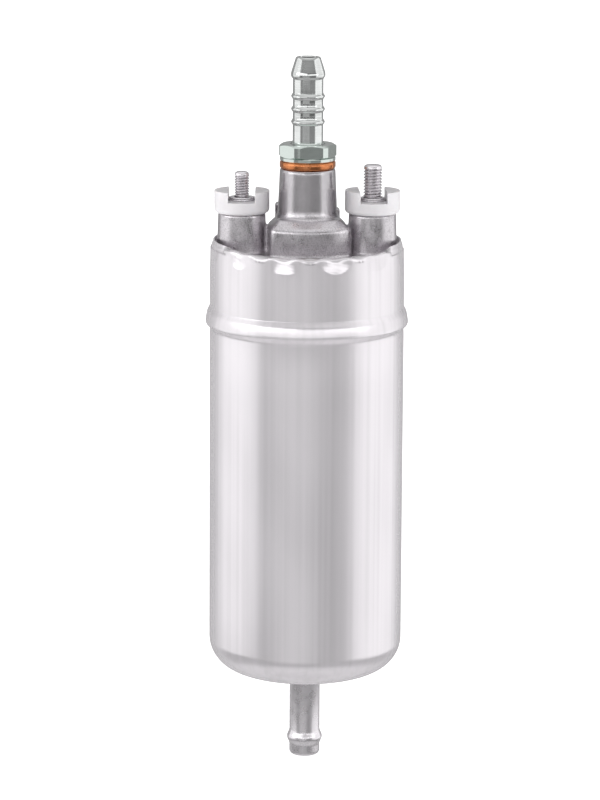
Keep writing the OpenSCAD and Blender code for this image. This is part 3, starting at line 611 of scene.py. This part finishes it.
def crimp(piece):
    """Presses dents under the rim, waves its lip, lets it stand up at both sides and paints shade
    on it.
    """
    painted_shade = piece.data.attributes.new("painted_shade", "FLOAT", "POINT")
    for vertex in piece.data.vertices:
        z = vertex.co.z / MM
        if z < CRIMP_FOOT:
            continue
        r = math.hypot(vertex.co.x, vertex.co.y) / MM
        angle = math.degrees(math.atan2(vertex.co.x, -vertex.co.y))
        press, foot = crimp_depth(angle)
        gap = lip_gap(angle)
        standing = ease(abs(angle), *STAND_UP) * (1 - ease(abs(angle), *LIE_DOWN))
        lying = 1 - standing
        # Painted shade under the lip's edge and on its flat, kept on the points for the can's
        # material
        painted_shade.data[vertex.index].value = lying * painted_lip_shade(angle, r, z, press, gap)
        # Dents, with faint marks in them
        rise = min(max((z - foot) / (66.1 - foot), 0.0), 1.0)
        dent = DENT * press * rise * (1.45 - 0.45 * rise) * (1 - 0.6 * standing)
        mark = DENT_MARK * math.sin(angle * 1.7 + z * 3.1) * math.sin(angle * 0.9 - z * 4.3)
        new_r = r - dent + mark * press * (1 - ease(z, 65.2, 65.8))
        # Between dents the wall sags and the flat of the lip bulges
        new_z = z - 0.12 * gap * ease(z, 64.6, 65.6)
        new_z += (0.5 * gap - 0.12 * press) * lip_fold(r, z)
        # The lip's edge is tight, and it waves up and out
        wave = lip_wave(angle) * ease(z, 65.0, 65.9)
        new_z += WAVE * wave
        new_z += 0.2 * ease(z, 65.0, 65.8) * (1 - ease(z, 65.9, 66.35)) * lying
        new_r -= WAVE_SETBACK * (1 - wave) * ease(z, 65.2, 65.9) * lying
        # The rim is higher at both sides than in front
        new_z += (0.7 * ease(-angle, 24, 57) + 0.25 * ease(angle, 30, 60)) * ease(z, 63.5, 66)
        if z > 65.3 and standing > 0:
            stand_r, stand_z = unfold(r, z)
            new_r += (stand_r - new_r) * standing
            new_z += (stand_z - new_z) * standing
        vertex.co.x *= new_r / r
        vertex.co.y *= new_r / r
        vertex.co.z = new_z * MM


def can_shell(material):
    """Drawn can: round bottom corner, clamping bead and the crimped rim."""
    floor = FLOOR - 0.2
    corner = CORNER_R + 0.7
    outer = [(SPIGOT_R + 0.05, floor), (11, floor)]
    outer += arc(CAN_FOOT_R - corner, floor + corner, corner, -90, 0, 34)
    outer += straight((CAN_FOOT_R, floor + corner), (CAN_R, 43.0), 6)
    outer += [(CAN_R - 0.04, 43.3), (CAN_R - 0.05, 43.6), (CAN_R - 0.02, 43.9),
              (CAN_R + 0.03, 44.1), (CAN_R + 0.1, 44.3), (CAN_R + 0.22, 44.5),
              (CAN_R + 0.35, 44.65), (CAN_R + 0.5, 44.8), (CAN_R + 0.66, 44.95),
              (CAN_R + 0.82, 45.1), (CAN_R + 0.95, 45.25), (CAN_R + 1.03, 45.4),
              (CAN_R + 1.09, 45.6), (CAN_R + 1.125, 45.8), (CAN_R + 1.14, 46.0),
              (CAN_R + 1.12, 46.15), (CAN_R + 1.04, 46.7), (CAN_R + 0.955, 47.25),
              (CAN_R + 0.86, 47.8), (CAN_R + 0.76, 48.25), (CAN_R + 0.65, 48.65),
              (CAN_R + 0.44, 49.05), (CAN_R + 0.22, 49.5), (CAN_R + 0.02, 49.92),
              (CAN_R, 50.0), (CAN_R, 50.12), (CAN_R, 50.4)]
    outer += [(CAN_R, 54), (25.98, 58)]
    outer += straight((25.98, 58), (25.92, 61.6), 3) + straight((25.92, 61.6), (25.8, 65.45), 18)
    outer += [(25.78, 65.7), (25.73, 65.9), (25.65, 66.06), (25.53, 66.19), (25.38, 66.28),
              (25.2, 66.33), (24.9, 66.36), (24.6, 66.38), (24.3, 66.39), (24.0, 66.4)]
    inner = [(23.92, 66.36), (23.88, 66.26), (23.92, 66.12), (24.35, 66.0), (24.6, 65.8),
             (24.7, 65.4), (24.75, 64), (24.8, 60), (24.8, 51.2)]
    inner += list(reversed(swell(24.8, BEAD, 2.8, 1.1, 10)))
    inner += arc(CAN_FOOT_R - CORNER_R, FLOOR + CORNER_R, CORNER_R - 1.2, 0, -90, 12)
    inner += [(SPIGOT_R + 0.05, FLOOR + 1.2), outer[0]]
    can = turn("can_shell", outer + inner, 360)
    crimp(can)
    smooth(can, 32)
    return fit(can, material, "can_steel", "can")


def inlet_spigot():
    """Tube brazed into the can's floor, with a hose bead and a rounded end."""
    r = SPIGOT_R + 0.05
    outline = arc(r - 1.0, SPIGOT_END + 1.0, 1.0, -90, 0, 8)
    outline += swell(r, SPIGOT_BEAD, 2.2, 0.66, 18)
    outline += [(r, FLOOR - 0.75), (r + 0.12, FLOOR - 0.5), (r + 0.45, FLOOR - 0.32),
                (r + 0.45, FLOOR), (r, FLOOR + 0.3), (r, FLOOR + 1.5),
                (SPIGOT_BORE_R, FLOOR + 1.5), (SPIGOT_BORE_R, SPIGOT_END + 0.25),
                (SPIGOT_BORE_R + 0.12, SPIGOT_END), outline[0]]
    spigot = turn("inlet_spigot", outline, 128)
    smooth(spigot, 40)
    material = plain_metal("spigot_steel", (0.83, 0.80, 0.83), 0.28, (2.0, 2.0, 0.05), 0.06)
    material.node_tree.nodes["Principled BSDF"].inputs["Metallic"].default_value = 0.88
    return fit(spigot, material, "can_steel", "can")


def cover_casting():
    """Upper side of the end cover: disc, block with the column, rib and two towers, all cast."""
    cast = turn("cover_casting", [(0, 60.2), (23.85, 60.2), (23.85, 64.9), (23.5, 65.2),
                                  (22.2, 65.2), (21.2, 64.3), (0, 64.3)], 180)
    # The block's front and back are bowed, and its straight sides are this far from the middle
    half = 10.5
    front = []
    back = []
    for i in range(17):
        x = half - 2 * half * i / 16
        deep = math.sqrt(18.0 ** 2 - x * x) - 6.0
        front.append((x, -deep))
        back.append((-x, deep))
    block = extrude_plan("block", front + [(-half, 3), (half, 3)], 61, 71.7)
    # Its roof slopes up on all sides to the column's foot
    edit(block)
    bpy.ops.mesh.select_mode(type="FACE")
    bpy.ops.object.mode_set(mode="OBJECT")
    for face in block.data.polygons:
        face.select = face.normal.z > 0.9
    bpy.ops.object.mode_set(mode="EDIT")
    bpy.ops.mesh.extrude_region_move(TRANSFORM_OT_translate={"value": (0, 0, 2.3 * MM)})
    bpy.ops.transform.resize(value=(0.78, 0.70, 1), center_override=(0, 0, 74.0 * MM))
    bpy.ops.mesh.select_mode(type="VERT")
    bpy.ops.object.mode_set(mode="OBJECT")
    break_edges(block, 0.7, 25)
    move(block, turned=BLOCK_TURN)
    combine(cast, block, "UNION")
    # Behind the column it is lower and flat
    step = extrude_plan("step", back + [(half, -3), (-half, -3)], 61, 70.6)
    break_edges(step, 0.6, 40)
    move(step, turned=BLOCK_TURN)
    combine(cast, step, "UNION")
    column = turn("column", [(0, 61), (8.6, 61), (8.6, 73.2), (8.3, 74.1), (8.02, 74.9),
                             (7.88, 76.0), (7.50, 84.3), (7.43, 86.1), (7.38, COLUMN_TOP - 0.35),
                             (7.1, COLUMN_TOP), (0, COLUMN_TOP)], 96)
    combine(cast, column, "UNION")
    # The rib's top slopes down to the right
    rib = slab("rib", (-8.7, 3.4, 62), (8.7, 8.4, 76.8))
    for vertex in rib.data.vertices:
        if vertex.co.z > 70 * MM and vertex.co.x > 0:
            vertex.co.z -= 1.5 * MM
    break_edges(rib, 0.8, 30)
    combine(cast, rib, "UNION")
    for side in (-1, 1):
        tower = turn("tower", [(0, 61), (6.6, 61), (6.6, COVER_TOP), (6.3, TOWER_TOP - 0.2),
                               (6.1, TOWER_TOP), (0, TOWER_TOP)], 96)
        combine(cast, move(tower, x=TERMINAL_X[side]), "UNION")
    for side in (-1, 1):
        combine(cast, rod("bore", TOWER_BORE_R, 58, 78, TERMINAL_X[side]), "DIFFERENCE")
    combine(cast, rod("thread_bore", 6.0, 58, 90), "DIFFERENCE")
    add_modifier(cast, "REMESH", mode="VOXEL", voxel_size=0.31 * MM)
    add_modifier(cast, "SMOOTH", factor=0.5, iterations=3)
    smooth(cast, 60)
    return cast


def cover_skirt():
    """Lower side of the end cover, inside the can: flange, seal groove, skirt and bearing boss."""
    skirt = turn("cover_skirt", [(5.5, 60.15), (24.0, 60.15), (24.0, 59.5), (22.275, 59.5),
                                 (22.275, 57.45), (24.0, 57.45), (24.2, CEILING), (24.5, 43.5),
                                 (24.5, SKIRT_END + 0.4), (24.1, SKIRT_END), (22.8, SKIRT_END),
                                 (22.8, 47.5), (22.0, 47.5), (22.0, 48.4), (22.8, 48.4),
                                 (22.8, CEILING), (8.0, CEILING), (8.0, 47.4), (7.6, 47.0),
                                 (5.5, 47.0), (5.5, 53.8), (4.2, 53.8), (4.2, 55.6), (5.5, 55.6),
                                 (5.5, 60.15)], 144)
    for side in (-1, 1):
        combine(skirt, rod("bore", TOWER_BORE_R, 52, 62, TERMINAL_X[side]), "DIFFERENCE")
        combine(skirt, rod("duct", 2.3, 52, 58, 0, side * 10.0, 32), "DIFFERENCE")
    smooth(skirt, 30)
    return skirt


def nipple_body():
    """Outlet nipple: threaded shank, turned face, hexagon, tube with three rings, and the barb."""
    outline = [(4.2, 74.6), (5.6, 74.6), (5.95, 75.0), (5.95, NIPPLE - 0.5), (5.95, NIPPLE),
               (7.2, NIPPLE), (7.4, NIPPLE + 0.2), (7.4, HEX - 0.1), (7.3, HEX),
               (5.0, HEX), (5.0, TUBE - 0.6), (4.4, TUBE - 0.6), (4.4, TUBE), (4.22, TUBE + 0.05),
               (TUBE_R, TUBE + 0.3)]
    first_ring = TUBE + 5.85
    ring_pitch = 3.4
    for i in range(3):
        outline += swell(TUBE_R, first_ring + ring_pitch * i, 0.95, 0.44, 12)
    outline += [(TUBE_R, TUBE + 17.1), (TUBE_R + 0.06, TUBE + 17.25), (4.45, TUBE + 17.75),
                (4.54, TUBE + 17.95), (4.58, TUBE + 18.3), (4.54, TUBE + 18.8),
                (4.42, TUBE + 19.3), (3.48, TIP - 0.75), (3.36, TIP - 0.35), (3.2, TIP - 0.1),
                (3.0, TIP), (2.6, TIP), (2.42, TIP - 0.08), (2.3, TIP - 0.3), (2.3, 88.0),
                (4.2, 88.0), (4.2, 74.6)]
    nipple = turn("nipple_body", outline, 128)
    corner_r = HEX_HALF / math.cos(math.radians(30))
    hexagon = rod("hexagon", corner_r, HEX - 1, TUBE + 1, sides=6)
    move(hexagon, turned=HEX_TURN)
    break_edges(hexagon, 0.2, 50)
    chamfers = turn("chamfers", [(0, HEX), (7.05, HEX), (7.64, HEX + 0.42), (7.64, TUBE - 0.5),
                                 (6.9, TUBE), (0, TUBE)], 192)
    combine(hexagon, chamfers, "INTERSECT")
    combine(hexagon, rod("hole", 4.6, HEX - 1, TUBE + 1, sides=96), "DIFFERENCE")
    combine(nipple, hexagon, "UNION")
    smooth(nipple, 24)
    add_modifier(nipple, "WEIGHTED_NORMAL", weight=80, keep_sharp=True)
    return fit(nipple, bright_zinc(), "zinc_steel", "outlet_nipple")


def sealing_washer():
    """Copper washer with rounded edges under the nipple."""
    r = 7.45
    hole = 6.05
    edge = 0.6
    outline = [(hole, COLUMN_TOP)] + arc(r - edge, COLUMN_TOP + 0.62, edge, -90, -10, 6)
    outline += arc(r - edge, NIPPLE - 0.62, edge, 10, 90, 6)
    outline += [(hole, NIPPLE), (hole, COLUMN_TOP)]
    washer = turn("sealing_washer", outline, 128)
    smooth(washer, 40)
    return fit(washer, soft_copper(), "copper", "nipple_washer")


def insulator(name, side, stud_r, turned, material, node):
    """Slotted nylon collar with its sleeve down through the tower."""
    sleeve = TOWER_BORE_R - 0.05
    hole = stud_r + 0.1
    edge = 1.2
    top = COLLAR_TOP[side]
    outline = [(hole, CEILING), (sleeve, CEILING), (sleeve, TOWER_TOP), (5.6, TOWER_TOP)]
    outline += arc(COLLAR_R - edge, TOWER_TOP + edge, edge, -78, 0, 8)
    outline += [(COLLAR_R, top), (hole, top), (hole, CEILING)]
    collar = turn(name, outline, 120)
    slot = slab("slot", (-SLOT_HALF, -9, SLOT_FLOOR), (SLOT_HALF, 9, 83))
    combine(collar, slot, "DIFFERENCE")
    break_edges(collar, 0.22, 40)
    smooth(collar, 35)
    add_modifier(collar, "WEIGHTED_NORMAL", weight=80, keep_sharp=True)
    move(collar, x=TERMINAL_X[side], turned=turned)
    return fit(collar, material, "nylon", node)


def threaded_stud(name, side, r, pitch, top, material, node):
    """Terminal stud, threaded above the collar's slot floor and below the strip."""
    foot = SLOT_FLOOR + 0.9
    thread_top = top - 1.15
    deep = 0.58 * pitch
    rings = [(0, 48.0), (r - 0.45, 48.0), (r - 0.1, 48.3)]
    rings += straight((r, 48.3), (r, 52.4), int(4.1 / pitch * 10))
    rings += [(r - 0.2, 52.5), (r - 0.2, foot - 0.05)]
    rings += straight((r, foot), (r, thread_top), int((thread_top - foot) / pitch * 12))
    rings += [(r - 0.13, top - 1.1), (r - 0.13, top - 0.62), (r - 0.2, top - 0.4),
              (r - 0.4, top - 0.19), (r - 0.7, top - 0.06), (r - 1.1, top), (0, top)]
    stud = turn(name, rings, 64)
    painted_shade = stud.data.attributes.new("painted_shade", "FLOAT", "POINT")
    for vertex in stud.data.vertices:
        z = vertex.co.z / MM
        away = math.hypot(vertex.co.x, vertex.co.y) / MM
        if away < r - 0.05 or not (48.25 < z < 52.45 or foot - 0.01 < z < top - 1.12):
            continue
        turn_share = math.atan2(vertex.co.y, vertex.co.x) / math.tau
        place = (z / pitch - turn_share) % 1.0
        crest = min(max((abs(2 * place - 1) - 0.08) / 0.78, 0.0), 1.0)
        runout = ease(z, foot - 0.2, foot + 0.5) if z > 60 else 1.0
        groove = (1 - crest) * runout
        # Painted shade in the thread's grooves, kept on the points for the stud's material
        painted_shade.data[vertex.index].value = groove
        vertex.co.x *= (r - deep * groove) / away
        vertex.co.y *= (r - deep * groove) / away
    smooth(stud, 50)
    move(stud, x=TERMINAL_X[side])
    return fit(stud, material, "steel", node)


def foot_washers(name, side, stud_r, material, node):
    """Two thin washers stacked on the collar's slot floor."""
    pair = []
    hole = stud_r + 0.05
    for i, r in enumerate((3.45, 3.33)):
        low = SLOT_FLOOR + 0.45 * i
        high = low + 0.43
        pair.append(turn(name, [(hole, low), (r - 0.12, low), (r, low + 0.1), (r, low + 0.3),
                                (r - 0.14, high), (hole, high), (hole, low)], 96))
    washers = smooth(join(pair), 40)
    washers.name = name
    move(washers, x=TERMINAL_X[side], turned=side * 7)
    return fit(washers, material, "steel", node)


# Springs and brush leads

def coil(name, coil_r, wire_r, length, turns, strands=1):
    """One or more round wires, filled at both ends, wound upwards from height 0."""
    wound = []
    for i in range(strands):
        deselect()
        bpy.ops.mesh.primitive_circle_add(vertices=12, radius=wire_r * MM,
                                          location=(coil_r * MM, 0, wire_r * MM),
                                          rotation=(math.radians(90), 0, 0))
        wire = settle(named(name))
        steps = int(turns * 28)
        add_modifier(wire, "SCREW", axis="Z", angle=math.tau * turns, steps=steps,
                     render_steps=steps, screw_offset=(length - 2 * wire_r) * MM)
        edit(wire)
        bpy.ops.mesh.select_all(action="SELECT")
        bpy.ops.mesh.fill_holes(sides=16)
        face_out(wire)
        wound.append(move(wire, turned=360 * i / strands))
    return smooth(join(wound), 50)


def lay_along_x(piece, side, x, z):
    """Lays an upright piece along the X axis, its foot at x and its head towards the middle."""
    pick(piece)
    piece.rotation_euler = (0, math.radians(-90 * side), 0)
    piece.location = (side * x * MM, 0, z * MM)
    return settle(piece)


def springs_and_leads():
    """Valve springs, brush springs and the brushes' braided leads."""
    wire = plain_metal("spring_wire", (0.52, 0.52, 0.54), 0.25, (3.0, 3.0, 3.0))
    braid = plain_metal("braided_copper", (0.72, 0.36, 0.19), 0.36, (3.0, 3.0, 3.0), 0.25)
    valve = move(coil("check_valve_coil", 2.9, 0.2, 8.99, 4), z=78.93)
    fit(valve, wire, "steel", "check_valve_spring")
    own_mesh(valve)
    relief_coil = move(coil("relief_coil", 1.5, 0.25, 9.56, 6), x=-19.6, z=-40.91)
    fit(relief_coil, wire, "steel", "relief_spring")
    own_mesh(relief_coil)
    for side, name in ((-1, "left"), (1, "right")):
        brush_coil = coil(name + "_brush_coil", 2.0, 0.2, 4.04, 3)
        lay_along_x(brush_coil, side, 21.22, BRUSH_Z)
        fit(brush_coil, wire, "steel", name + "_brush_spring")
        lead = coil(name + "_brush_lead", 0.3, 0.29, 4.2, 1.5, 3)
        lay_along_x(lead, side, 21.3, BRUSH_Z)
        fit(lead, braid, "copper", name + "_pigtail")
        for piece in (brush_coil, lead):
            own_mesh(piece)


# The inner pieces keep their solids and get their finishes here

def finish_inner_nodes():
    """Materials of the solids that are shown as they are."""
    steel = plain_metal("ground_steel", (0.58, 0.58, 0.59), 0.28, (0.3, 0.3, 3.0))
    laminated = plain_metal("laminated_steel", (0.42, 0.42, 0.44), 0.42, (0.05, 0.05, 2.0), 0.22)
    sheet = plain_metal("sheet_steel", (0.50, 0.50, 0.52), 0.36, (2.0, 2.0, 0.1))
    brass = plain_metal("sheet_brass", (0.80, 0.62, 0.30), 0.27, (2.0, 2.0, 2.0))
    bronze = plain_metal("sintered_bronze", (0.58, 0.41, 0.22), 0.5, (6.0, 6.0, 6.0), 0.2)
    wire = plain_metal("enamelled_wire", (0.62, 0.26, 0.12), 0.3, (0.4, 0.4, 5.0), 0.25)
    bar = plain_metal("commutator_copper", (0.84, 0.44, 0.26), 0.26, (0.2, 0.2, 5.0))
    cast = plain_metal("machined_cast", (0.60, 0.60, 0.61), 0.35, (0.6, 0.6, 4.0))
    ferrite = plain_solid("ferrite", (0.035, 0.035, 0.038), 0.62, (3.0, 3.0, 3.0), 0.02, 0.3)
    carbon = plain_solid("brush_carbon", (0.028, 0.028, 0.030), 0.5, (7.0, 7.0, 1.0), 0.01, 0.3)
    phenolic = plain_solid("phenolic", (0.16, 0.075, 0.035), 0.42, (4.0, 4.0, 4.0), 0.006, 0.15)
    rubber = plain_solid("seal_rubber", (0.022, 0.022, 0.024), 0.58, (5.0, 5.0, 5.0), 0.006, 0.15)
    nylon = plain_solid("coupling_nylon", (0.72, 0.70, 0.62), 0.4, (4.0, 4.0, 4.0), 0.005, 0.05)
    finishes = {
        steel: ["left_stud_nut", "right_stud_nut", "shaft", "shaft_shims", "rotor_disc",
                "roller_1", "roller_2", "roller_3", "roller_4", "roller_5", "cam_ring",
                "pump_screws", "relief_ball"],
        laminated: ["lamination_stack"],
        sheet: ["flux_ring", "magnet_clips"],
        brass: ["check_valve_seat", "left_strip", "right_strip", "left_brush_guide",
                "right_brush_guide", "relief_plug"],
        bronze: ["upper_bush", "lower_bush"],
        wire: ["winding", "choke_coils"],
        bar: ["commutator"],
        cast: ["pump_base", "pump_cover"],
        ferrite: ["front_magnet", "rear_magnet", "choke_cores"],
        carbon: ["left_brush", "right_brush"],
        phenolic: ["terminal_insulators", "brush_plate", "commutator_hub"],
        rubber: ["cover_seal", "check_valve_poppet"],
        nylon: ["drive_coupling"],
    }
    for material, names in finishes.items():
        for name in names:
            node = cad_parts[name]
            node.data.materials.clear()
            node.data.materials.append(material)


# The studio

def softbox(name, first, last, low, high, away, bright):
    """An upright area light that faces the pump, between two azimuths in degrees and two heights
    in metres. Azimuth 0 is in front and 90 on the right."""
    middle = math.radians((first + last) / 2)
    width = 2 * away * math.tan(math.radians(last - first) / 2)
    data = bpy.data.lights.new(name, "AREA")
    data.shape = "RECTANGLE"
    data.size = width
    data.size_y = high - low
    data.energy = bright * math.pi * width * (high - low)
    lamp = bpy.data.objects.new(name, data)
    bpy.context.scene.collection.objects.link(lamp)
    lamp.location = (away * math.sin(middle), -away * math.cos(middle), (low + high) / 2)
    lamp.rotation_euler = (math.radians(90), 0, middle)
    lamp.visible_camera = False


# Each soft light's name, first and last azimuth, lower and upper edge, distance and brightness
SOFTBOXES = [("left_softbox", -120, -59, -0.245, 0.50, 0.6, 0.83),
             ("right_softbox", 56, 127, -0.31, 0.50, 0.6, 0.88),
             ("left_strip", -85, -6, 0.105, 0.36, 0.7, 1.6),
             ("right_strip", -4, 70, 0.105, 0.26, 0.7, 1.35),
             ("low_fill", -40, 12, -0.40, -0.01, 0.75, 0.31)]

# Greys of the room that the pieces reflect, from straight below at 0 to straight above at 1
ROOM_GREYS = [(0.0, 0.40), (0.06, 0.50), (0.13, 0.55), (0.20, 0.20), (0.35, 0.17), (0.41, 0.14),
              (0.425, 0.28), (0.437, 0.50), (0.449, 0.28), (0.457, 0.13), (0.5, 0.10),
              (0.66, 0.21), (0.75, 0.40), (0.82, 0.62), (0.89, 0.85), (0.95, 0.95)]
BACK_WALL = (0.39, 0.39, 0.39)


def studio():
    """Pale floor that reflects in nothing, and soft lights on both sides and in front."""
    deselect()
    bpy.ops.mesh.primitive_plane_add(size=16, location=(0, 4, SPIGOT_END * MM))
    floor = bpy.context.active_object
    floor.name = "studio_floor"
    pale = new_finish("pale_floor", (0.9, 0.9, 0.9), 0.0, 0.9)
    shader = pale.node_tree.nodes["Principled BSDF"]
    shader.inputs["Specular IOR Level"].default_value = 0.0
    shader.inputs["Emission Color"].default_value = (1, 1, 1, 1)
    shader.inputs["Emission Strength"].default_value = 0.8
    floor.data.materials.append(pale)
    floor.visible_glossy = False
    for box in SOFTBOXES:
        softbox(*box)


def surroundings():
    """White behind the pump for the camera, and a room in greys for what the pieces reflect."""
    scene = bpy.context.scene
    world = bpy.data.worlds.new("white_room")
    scene.world = world
    world.use_nodes = True
    tree = world.node_tree
    nodes = tree.nodes
    links = tree.links
    nodes.clear()
    place = nodes.new("ShaderNodeTexCoord")
    split = nodes.new("ShaderNodeSeparateXYZ")
    links.new(place.outputs["Generated"], split.inputs["Vector"])
    ramp = nodes.new("ShaderNodeValToRGB")
    set_stops(ramp, [(at, (grey, grey, grey)) for at, grey in ROOM_GREYS])
    links.new(spread_out(tree, split.outputs["Z"], -1, 1), ramp.inputs["Fac"])
    behind = spread_out(tree, split.outputs["Y"], 0.25, 0.6, soft=True)
    below_top = spread_out(tree, split.outputs["Z"], 0.85, 0.5, soft=True)
    share = combine_patterns(world, behind, below_top, "MULTIPLY")
    wall = nodes.new("ShaderNodeMix")
    wall.data_type = "RGBA"
    wall.inputs["B"].default_value = (*BACK_WALL, 1)
    links.new(share, wall.inputs["Factor"])
    links.new(ramp.outputs["Color"], wall.inputs["A"])
    room = nodes.new("ShaderNodeBackground")
    links.new(wall.outputs["Result"], room.inputs["Color"])
    white = nodes.new("ShaderNodeBackground")
    white.inputs["Color"].default_value = (1, 1, 1, 1)
    white.inputs["Strength"].default_value = 1.05
    seen = nodes.new("ShaderNodeLightPath")
    mix = nodes.new("ShaderNodeMixShader")
    out = nodes.new("ShaderNodeOutputWorld")
    links.new(seen.outputs["Is Camera Ray"], mix.inputs["Fac"])
    links.new(room.outputs["Background"], mix.inputs[1])
    links.new(white.outputs["Background"], mix.inputs[2])
    links.new(mix.outputs["Shader"], out.inputs["Surface"])
    scene.view_settings.view_transform = "Standard"
    scene.view_settings.look = "None"


aim_camera()
studio()
surroundings()

can_shell(drawn_steel())
inlet_spigot()
casting = cover_casting()
skirt = cover_skirt()
cast_skin = die_cast()
fit(casting, cast_skin, "cast_aluminium", "end_cover")
fit(skirt, cast_skin, "cast_aluminium", "end_cover")
nipple_body()
sealing_washer()
nylon_white = white_nylon()
stud_steel = plain_metal("stud_steel", (0.86, 0.83, 0.86), 0.27, (0.5, 0.5, 0.5), 0.05)
# Painted shade: the kept pattern darkens the studs' thread roots
recolour(stud_steel, kept_pattern(stud_steel, "painted_shade"), (0.12, 0.115, 0.12), 0.35)
for name, side, stud_r, pitch, top, turned in TERMINALS:
    insulator(name + "_insulator", side, stud_r, turned, nylon_white, name + "_collar")
    threaded_stud(name + "_terminal_stud", side, stud_r, pitch, top, stud_steel, name + "_stud")
    foot_washers(name + "_foot_washers", side, stud_r, stud_steel, name + "_stud_washers")
springs_and_leads()
finish_inner_nodes()

deselect()
